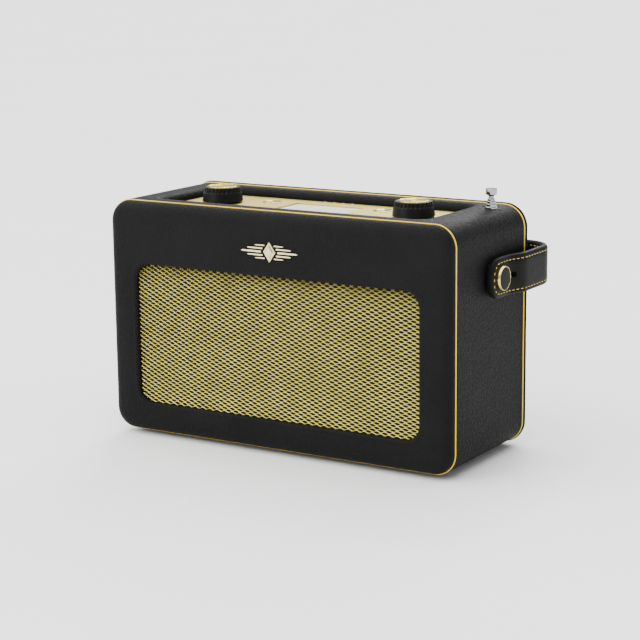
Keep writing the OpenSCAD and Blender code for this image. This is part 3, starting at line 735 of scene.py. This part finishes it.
def badge():
    """A plain ornament: a stepped diamond between five tapering bars on each side."""
    lo, hi = local_box("front_badge")
    cz, top = (lo.z + hi.z) / 2, 1.5
    verts, faces = [], []

    def plate(points, depth, inset=0.35):
        """A flat shape with a bevelled rim, standing off the leather."""
        mid = Vector((sum(p[0] for p in points) / len(points), sum(p[1] for p in points) / len(points)))
        rings = []
        for shrink, out in ((0.0, -0.2), (0.0, depth - inset), (inset, depth)):
            ring = []
            for p in points:
                v = Vector(p) - mid
                v = v * max(0.2, 1 - shrink / max(v.length, 0.01) * 1.4)
                ring.append(at(mid.x + v.x, front_y - 0.25 - out, cz + mid.y + v.y))
            rings.append(ring)
        add_closed(verts, faces, rings)

    plate([(0, 6.5), (4.6, 0), (0, -6.5), (-4.6, 0)], top - 0.5)
    plate([(0, 4.2), (2.9, 0), (0, -4.2), (-2.9, 0)], top + 0.25)
    for side in (-1, 1):
        for z, start, end, thick in (
                (0.0, 6.0, 21.0, 0.62), (2.1, 4.9, 16.5, 0.5), (-2.1, 4.9, 16.5, 0.5),
                (4.0, 3.4, 11.0, 0.42), (-4.0, 3.4, 11.0, 0.42)):
            shape = [(side * start, z + thick), (side * (end - 1.5), z + thick * 0.8), (side * end, z),
                     (side * (end - 1.5), z - thick * 0.8), (side * start, z - thick)]
            plate(shape, top - 0.5, 0.2)
    build("badge_ornament", verts, faces, "case", badge_gold, ["front_badge"], smooth=False)


# ------------------------------------------------------------------ knobs, buttons and aerial

def knob(name):
    """A black knob with a notched band under its rim and a spun brass disc in its top."""
    lo, hi = local_box(name + "_knob")
    cap_lo, cap_hi = local_box(name + "_knob_cap")
    cx, cy = (lo.x + hi.x) / 2, (lo.y + hi.y) / 2
    base, top = lo.z, hi.z
    band = top - 3.4        # the notches start here
    notches, notch_depth, notch_half = 28, 0.7, 0.28
    profile = rounded_profile([
        (3.05, base + 2.6), (10.0, base + 2.6), (10.0, base), (13.3, base), (13.2, base + 1.0),
        (12.4, band), (11.8, top - 0.1), (10.0, top), (9.75, top - 0.9), (3.05, top - 0.9)], 0.4)

    def cut(r, h, a):
        if h < band - 0.05 or r < 10.6:
            return r
        phase = (a * notches / (2 * math.pi)) % 1.0
        depth = max(0.0, 1 - (abs(phase - 0.5) / notch_half) ** 2) ** 0.5
        ramp = min(1.0, (h - band + 0.05) / 0.4)
        return r - notch_depth * depth * ramp

    # more rows on the notched band, so that the notches start cleanly
    rows = []
    for (r0, h0), (r1, h1) in zip(profile, profile[1:]):
        steps = 5 if abs(h1 - h0) > 1.2 and r0 > 11 else 1
        rows += [(r0 + (r1 - r0) * i / steps, h0 + (h1 - h0) * i / steps) for i in range(steps)]
    rows.append(profile[-1])
    rings = lathe(rows, (cx, cy, 0), steps=notches * 12, radius=cut)
    verts, faces = loft(rings, close_path=True)
    build(name + "_knob_body", verts, faces, name, knob_plastic, [name + "_knob"], sharp=38)
    # the spun disc, dished, in a bright rim
    r = (cap_hi.x - cap_lo.x) / 2
    profile = rounded_profile([
        (0.0, cap_lo.z + 0.1), (r, cap_lo.z + 0.1), (r, cap_hi.z - 0.1), (r - 0.35, cap_hi.z + 0.05),
        (r - 0.95, cap_hi.z + 0.05), (r - 1.25, cap_hi.z - 0.2), (5.0, cap_hi.z - 0.3),
        (0.0, cap_hi.z - 0.36)], 0.12)
    verts, faces = loft(lathe(profile, (cx, cy, 0), steps=128))
    brass = spun(name + "_brass", (0.64, 0.46, 0.06), (0.74, 0.55, 0.09), at(cx, cy, cap_hi.z))
    build(name + "_disc", verts, faces, name, brass, [name + "_knob_cap"], sharp=50)


def button(name):
    """A dished round button with a flange under the panel and a stem down to its switch."""
    lo, hi = local_box(name + "_button")
    cx, cy = (lo.x + hi.x) / 2, (lo.y + hi.y) / 2
    r, stem_r, flange_r, top = 6.2, 1.8, 7.1, PANEL_TOP + 0.6
    low, high = panel_lo.z - 1.5, panel_lo.z - 0.35
    profile = rounded_profile([
        (0.0, lo.z), (stem_r, lo.z), (stem_r, low), (flange_r, low), (flange_r, high),
        (r, high), (r, top - 0.3), (r - 0.7, top), (3.4, top - 0.4), (0.0, top - 0.6)], 0.3)
    verts, faces = loft(lathe(profile, (cx, cy, 0), steps=96))
    brass = spun(name + "_button_brass", (0.54, 0.44, 0.12), (0.62, 0.52, 0.17), at(cx, cy, top))
    build(name + "_button_top", verts, faces, name, brass, [name + "_button"], sharp=50)


def aerial():
    """Each stage has a rolled mouth that the next one slides in; the tip is a flat-topped cap."""
    cx, cy = AERIAL
    names = ["aerial_tube", "aerial_section_1", "aerial_section_2", "aerial_section_3"]
    bodies = ["aerial_base", "aerial_1", "aerial_2", "aerial_3"]
    boxes = [local_box(n) for n in names + ["aerial_rod", "aerial_tip"]]
    radii = [4.1, 3.45, 2.85, 2.25, 1.65]
    for k, (name, body) in enumerate(zip(names, bodies)):
        lo, hi = boxes[k]
        r, mouth = radii[k], radii[k + 1] + 0.06
        profile = rounded_profile([
            (r - 0.4, lo.z + 1), (r - 0.4 if k else 0.4, lo.z), (r, lo.z), (r, hi.z - 0.45), (r - 0.22, hi.z),
            (mouth, hi.z), (mouth, hi.z - 3.0), (r - 0.4, hi.z - 3.3)], 0.14)
        verts, faces = loft(lathe(profile, (cx, cy, 0), steps=64), close_path=True)
        build(name + "_tube", verts, faces, body, chrome, [name], sharp=50)
    lo = boxes[4][0]
    tip_lo, tip_hi = boxes[5]
    profile = rounded_profile([(0.0, lo.z), (radii[4], lo.z), (radii[4], tip_lo.z), (0.0, tip_lo.z)], 0.1)
    verts, faces = loft(lathe(profile, (cx, cy, 0), steps=48))
    build("aerial_rod_tube", verts, faces, "aerial_4", chrome, ["aerial_rod"], sharp=50)
    r = (tip_hi.x - tip_lo.x) / 2
    profile = rounded_profile([
        (0.0, tip_lo.z - 1.0), (radii[4], tip_lo.z - 1.0), (2.5, tip_lo.z - 0.3), (r - 0.15, tip_lo.z),
        (r, tip_lo.z + 0.15), (r, tip_hi.z - 0.25), (r - 0.25, tip_hi.z), (0.0, tip_hi.z)], 0.12)
    verts, faces = loft(lathe(profile, (cx, cy, 0), steps=64))
    build("aerial_tip_cap", verts, faces, "aerial_4", chrome, ["aerial_tip"], sharp=50)


# ------------------------------------------------------------------ strap

strap_lo, strap_hi = local_box("strap")
stud_lo, stud_hi = local_box("right_stud")
STUD_Y = (stud_lo.y + stud_hi.y) / 2
STUD_HEAD = 2.6                         # height of the stud's head over the strap
STRAP_T = 4.5
STRAP_W = strap_hi.z - strap_lo.z
STRAP_Z = (strap_hi.z + strap_lo.z) / 2
STRAP_FACE = stud_hi.x - STUD_HEAD      # the strap's outer face under the stud
STRAP_TIP = 11.0                        # radius of the rounded ends
BOW_START, BOW_END = 8.2, 27.0          # the arm's belly, measured from the stud
STRAP_BEND = 14.5                       # inner radius of the bend behind the case


def strap_line():
    """The strap's middle line in plan, from the right-hand tip to the left-hand one."""
    x, bow = STRAP_FACE - STRAP_T / 2, strap_hi.x - STRAP_FACE
    bend = STRAP_BEND + STRAP_T / 2
    start, full, turn = STUD_Y + BOW_START, STUD_Y + BOW_END, strap_hi.y - STRAP_T / 2 - bend
    line = [(x, strap_lo.y + (start - strap_lo.y) * i / 12) for i in range(12)]
    for i in range(15):
        t = i / 14
        line.append((x + bow * (1 - math.cos(math.pi * t)) / 2, start + (full - start) * t))
    line += [(x + bow, full + (turn - full) * i / 14) for i in range(1, 14)]
    centre = x + bow - bend
    for i in range(19):
        a = math.pi / 2 * i / 18
        line.append((centre + bend * math.cos(a), turn + bend * math.sin(a)))
    line += [(centre * (1 - i / 60), turn + bend) for i in range(1, 61)]
    return line + [(-x, y) for x, y in reversed(line[:-1])]


STRAP_LINE = strap_line()
STRAP_RUN = [0.0]
for near, far in zip(STRAP_LINE, STRAP_LINE[1:]):
    STRAP_RUN.append(STRAP_RUN[-1] + math.dist(near, far))


def strap_normal(i):
    """Outward direction at a point of the middle line."""
    p, q = STRAP_LINE[max(i - 1, 0)], STRAP_LINE[min(i + 1, len(STRAP_LINE) - 1)]
    along = Vector((q[0] - p[0], q[1] - p[1])).normalized()
    return Vector((along.y, -along.x))


def strap_point(s):
    """Place and outward direction of the strap's middle line at s from the right-hand tip."""
    k = min(max(bisect_right(STRAP_RUN, s) - 1, 0), len(STRAP_RUN) - 2)
    t = (s - STRAP_RUN[k]) / (STRAP_RUN[k + 1] - STRAP_RUN[k])
    place = Vector(STRAP_LINE[k]).lerp(Vector(STRAP_LINE[k + 1]), t)
    out = strap_normal(k).lerp(strap_normal(k + 1), t).normalized()
    return tuple(place), tuple(out)


def strap():
    """A thick strap with rounded edges and a shallow groove pressed in along each row of stitches."""
    total, tip = STRAP_RUN[-1], STRAP_TIP
    groove_at, groove = 0.76, 0.25
    ends = [0.0, 0.2, 0.6, 1.2, 1.9, 2.8, 3.8, 5.0, 6.4, 7.9, 9.4]
    count = round((total - 2 * tip) / 1.6)
    stops = ends + [tip + (total - 2 * tip) * i / count for i in range(count + 1)]
    stops += [total - v for v in reversed(ends)]
    rings = []
    for s in stops:
        (x, y), (ox, oy) = strap_point(s)
        d = min(s, total - s)
        half = STRAP_W / 2 - tip + math.sqrt(max(tip ** 2 - max(tip - d, 0) ** 2, 0.0))
        thick = STRAP_T / 2 * min(1.0, 0.3 + 0.7 * math.sqrt(min(d, 1.6) / 1.6))
        section = []
        for v in (-1, -0.97, -0.92, -0.86, -0.8, -0.76, -0.72, -0.5, 0,
                  0.5, 0.72, 0.76, 0.8, 0.86, 0.92, 0.97, 1):
            edge = max(0.0, abs(v) - 0.8) / 0.2
            t = thick * math.sqrt(max(0.0, 1 - edge ** 2.2))
            if abs(abs(v) - groove_at) < 0.01:
                t -= groove
            section.append((v * half, t))
        ring = section + [(v, -t) for v, t in reversed(section[1:-1])]
        rings.append([at(x + ox * t, y + oy * t, STRAP_Z + v) for v, t in ring])
    verts, faces = loft(rings, caps=True)
    obj = build("strap_leather", verts, faces, "strap", strap_leather, ["strap"])
    cut_slots(obj)
    shade(obj, True, 50)


def cut_slots(obj):
    """The long hole that each stud's shank stands in."""
    verts, faces = [], []
    run, r = 15.0, 1.75
    ring = [(STUD_Y + (run if u > 0 else 0) + u, STRAP_Z + v) for u, v in circle(r, 32, 0.5)]
    for side in (-1, 1):
        add_closed(verts, faces, [[at(side * x, y, z) for y, z in ring]
                                  for x in (STRAP_FACE - STRAP_T - 2, strap_hi.x + 2)])
    cut_away(obj, verts, faces)


def stitches():
    """Two rows of thread along the strap, on both faces, closed round each tip."""
    total, inset = STRAP_RUN[-1], 3.0
    length, gap, radius = 2.35, 1.4, 0.27
    sunk = 0.42                             # how far a stitch's ends go under the leather
    lines = []
    half = STRAP_W / 2 - inset
    r = STRAP_TIP - inset
    # round the right-hand tip, from one row to the other
    track = [(inset + r, half)]
    for i in range(1, 9):
        a = math.pi / 2 * i / 8
        track.append((inset + r - r * math.sin(a), half - r + r * math.cos(a)))
    track += [(s, -v) for s, v in reversed(track)]
    lines.append(track)
    lines.append([(total - s, v) for s, v in track])
    for v in (-half, half):
        lines.append([(inset + r, v), (total - inset - r, v)])
    verts, faces = [], []
    for line in lines:
        run = [0.0]
        for p, q in zip(line, line[1:]):
            run.append(run[-1] + math.dist(p, q))
        count = round(run[-1] / (length + gap))
        pitch = run[-1] / count

        def along(d):
            k = max(i for i in range(len(run) - 1) if run[i] <= d + 1e-9)
            t = (d - run[k]) / (run[k + 1] - run[k])
            return tuple(a + (b - a) * t for a, b in zip(line[k], line[k + 1]))

        for c in range(count):
            start = (c + 0.5) * pitch - length / 2
            for face in (1, -1):
                rings = []
                for i in range(7):
                    t = i / 6
                    s, v = along(min(max(start + length * t, 0), run[-1] - 1e-6))
                    s2, v2 = along(min(max(start + length * t + 0.05, 0), run[-1] - 1e-6))
                    (x, y), (ox, oy) = strap_point(s)
                    (x2, y2), _ = strap_point(s2)
                    lift = STRAP_T / 2 - sunk + sunk * math.sin(math.pi * t) ** 0.5
                    thick = radius * (0.45 + 0.55 * math.sin(math.pi * min(max(t, 0.06), 0.94)) ** 0.4)
                    centre = Vector((x + ox * lift * face, y + oy * lift * face, STRAP_Z + v))
                    direction = Vector((x2 - x, y2 - y, v2 - v))
                    if direction.length < 1e-9:
                        direction = Vector((0, 0, 1))
                    direction.normalize()
                    out = Vector((ox, oy, 0))
                    aside = direction.cross(out).normalized()
                    rings.append([at(*(centre + aside * a + out * b)) for a, b in circle(thick, 6)])
                add_closed(verts, faces, rings)
    build("strap_stitches", verts, faces, "strap", thread)


def stud(name, side):
    """A brass stud: a shank through the strap's hole and a ring that holds a leather disc."""
    lo, hi = local_box(name)
    inner, out = (lo.x, hi.x) if side > 0 else (-hi.x, -lo.x)
    centre = (0, STUD_Y, STRAP_Z)
    shank_r, head_r, ring_r, low = 1.7, 7.6, 6.95, STRAP_FACE - 0.4
    profile = rounded_profile([
        (0.0, inner), (shank_r, inner), (shank_r, low), (head_r, low), (head_r, out - 1.1),
        (7.3, out - 0.15), (7.2, out), (7.0, out), (ring_r, out - 0.2), (ring_r, out - 0.9),
        (0.0, out - 0.9)], 0.16)
    profile = [(r, side * h) for r, h in profile]
    verts, faces = loft(lathe(profile, centre, "X", 96))
    build(name + "_ring", verts, faces, "strap", stud_brass, [name], sharp=50)
    profile = rounded_profile([(0.0, out - 0.85), (6.92, out - 0.85), (6.92, out - 0.35), (6.0, out - 0.2),
                               (3.0, out - 0.08), (0.0, out)], 0.3)
    profile = [(r, side * h) for r, h in profile]
    verts, faces = loft(lathe(profile, centre, "X", 72))
    inset = build(name + "_inset", verts, faces, "strap", strap_leather, sharp=60)
    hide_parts("stud_insets")


# ------------------------------------------------------------------ small things on the panel

def panel_marks():
    """A dot and two short lines behind each knob: no lettering."""
    verts, faces = [], []

    def dot(x, y, rx, ry):
        add_closed(verts, faces, [[at(x + rx * u, y + ry * v, PANEL_TOP + h) for u, v in circle(k, 20)]
                                  for k, h in ((1.0, -0.05), (1.0, 0.03), (0.7, 0.05))])

    for name in ("volume_knob", "tuning_knob"):
        knob_lo, knob_hi = local_box(name)
        kx, ky = (knob_lo.x + knob_hi.x) / 2, (knob_lo.y + knob_hi.y) / 2
        dot(kx, ky + 16.2, 0.7, 0.7)
        dot(kx - 9.5, ky + 19.5, 1.6, 0.35)
        dot(kx + 9.5, ky + 19.5, 1.6, 0.35)
    build("panel_marks", verts, faces, "case", knob_plastic, sharp=40)


# ------------------------------------------------------------------ carried-over CAD nodes

KEPT = {
    "cabinet_board": (fibreboard, ["cabinet_top", "cabinet_base", "cabinet_left_side", "cabinet_right_side",
                                   "front_baffle"]),
    "grille_cloth": (grille_back, ["grille_cloth"]),
    "fixing_brass": (fixing_brass, ["back_panel_screws"]),
    "foot_rubber": (foot_rubber, ["rubber_feet"]),
    "black_plastic": (black_plastic, ["connector_plate", "battery_door", "aerial_bushes"]),
    "socket_plastic": (socket_plastic, ["power_socket", "headphone_socket", "line_in_socket"]),
    "circuit_board": (solder_mask, ["main_board", "control_board"]),
    "inner_plastic": (inner_plastic, ["battery_box", "panel_chassis", "display_module", "button_switches"]),
    "battery_jacket": (jacket, ["batteries"]),
    "spring_steel": (spring_steel, ["battery_contacts", "stud_nuts"]),
    "panel_gold": (panel_metal, ["control_panel"]),
    "window_cream": (window_plastic, ["display_window"]),
    "light_pipe": (light_pipe, ["indicator_lights"]),
    "shaft_steel": (shaft_steel, ["volume_shaft", "tuning_shaft"]),
    "rotor_plastic": (rotor_plastic, ["volume_plunger", "tuning_plunger"]),
    "encoder_metal": (encoder_steel, ["volume_encoder", "tuning_encoder"]),
    "speaker_steel": (speaker_paint, ["speaker_frame"]),
    "magnet_ferrite": (ferrite, ["speaker_magnet"]),
    "cone_paper": (cone_paper, ["speaker_cone"]),
    "surround_rubber": (surround_rubber, ["speaker_surround"]),
}


def finish_cad_nodes():
    for slot, (material, names) in KEPT.items():
        for name in names:
            obj = nodes[name]
            obj.data.materials.clear()
            obj.data.materials.append(material)


# ------------------------------------------------------------------ light, floor and camera

def area_light(name, place, target, size, power):
    data = bpy.data.lights.new(name, "AREA")
    data.shape = "RECTANGLE"
    data.size, data.size_y = size
    data.energy = power
    obj = add_object(name, data)
    obj.location = place
    obj.rotation_euler = (Vector(target) - Vector(place)).to_track_quat("-Z", "Y").to_euler()


def sun_light(name, tilt, spread, strength):
    """A far light; tilt and spread are in degrees, and a wide spread makes it soft."""
    data = bpy.data.lights.new(name, "SUN")
    data.energy = strength
    data.angle = math.radians(spread)
    add_object(name, data).rotation_euler = [math.radians(v) for v in tilt]


def studio():
    size, rise = 40.0, -0.0002
    verts = [(-size, -size, rise), (size, -size, rise), (size, size, rise), (-size, size, rise)]
    mesh = bpy.data.meshes.new("floor")
    mesh.from_pydata(verts, [], [(0, 1, 2, 3)])
    floor = add_object("floor", mesh)
    n = Nodes("floor_paper")
    n.colour(n.ramp(n.noise(3, 2), grey(0.9), grey(0.92)))
    n.rough(n.span(n.noise(40, 2), 0.85, 0.95))
    mesh.materials.append(n.mat)
    world = bpy.data.worlds.new("studio")
    world.use_nodes = True
    world.node_tree.nodes["Background"].inputs["Color"].default_value = (0.93, 0.94, 0.95, 1)
    world.node_tree.nodes["Background"].inputs["Strength"].default_value = 0.8
    bpy.context.scene.world = world
    sun_light("sky", (8, -18, 0), 100, 5.5)
    sun_light("back", (-58, 0, 14), 30, 1.9)
    sun_light("spark", (-40, 0, 30), 5, 0.45)
    area_light("front_left", (-0.9, -1.6, 0.9), (0, 0, 0.08), (1.0, 0.8), 13)


def camera():
    """The photo's camera, as fitted to the straight edges of the case."""
    yaw, pitch, roll = 0.5558, 0.20585, -0.010823
    forward = Vector((-math.sin(yaw) * math.cos(pitch), math.cos(yaw) * math.cos(pitch), -math.sin(pitch)))
    right = Vector((math.cos(yaw), math.sin(yaw), 0))
    up = right.cross(forward)
    right, up = (right * math.cos(roll) + up * math.sin(roll), up * math.cos(roll) - right * math.sin(roll))
    data = bpy.data.cameras.new("camera")
    data.lens = 105.67
    data.sensor_width = 36
    data.clip_start = 0.01
    obj = add_object("camera", data)
    place = at(623.48, -998.65, 320.8)
    obj.matrix_world = Matrix.Translation(place) @ Matrix((right, up, -forward)).transposed().to_4x4()
    bpy.context.scene.camera = obj


camera()
studio()
finish_cad_nodes()
front_cover()
back_cover()
wrap()
cord("front_cord", -seam_y, cord_vinyl, 0.28, 0.37, ["front_piping"])
cord("rear_cord", seam_y, cord_vinyl, 0.05, 0.47, ["rear_piping"])
cord("back_welt", seam_y + 1.75, case_leather, 0.25, 1.3)
grille()
badge()
knob("volume")
knob("tuning")
button("source")
button("menu")
aerial()
strap()
stitches()
stud("left_stud", -1)
stud("right_stud", 1)
panel_marks()
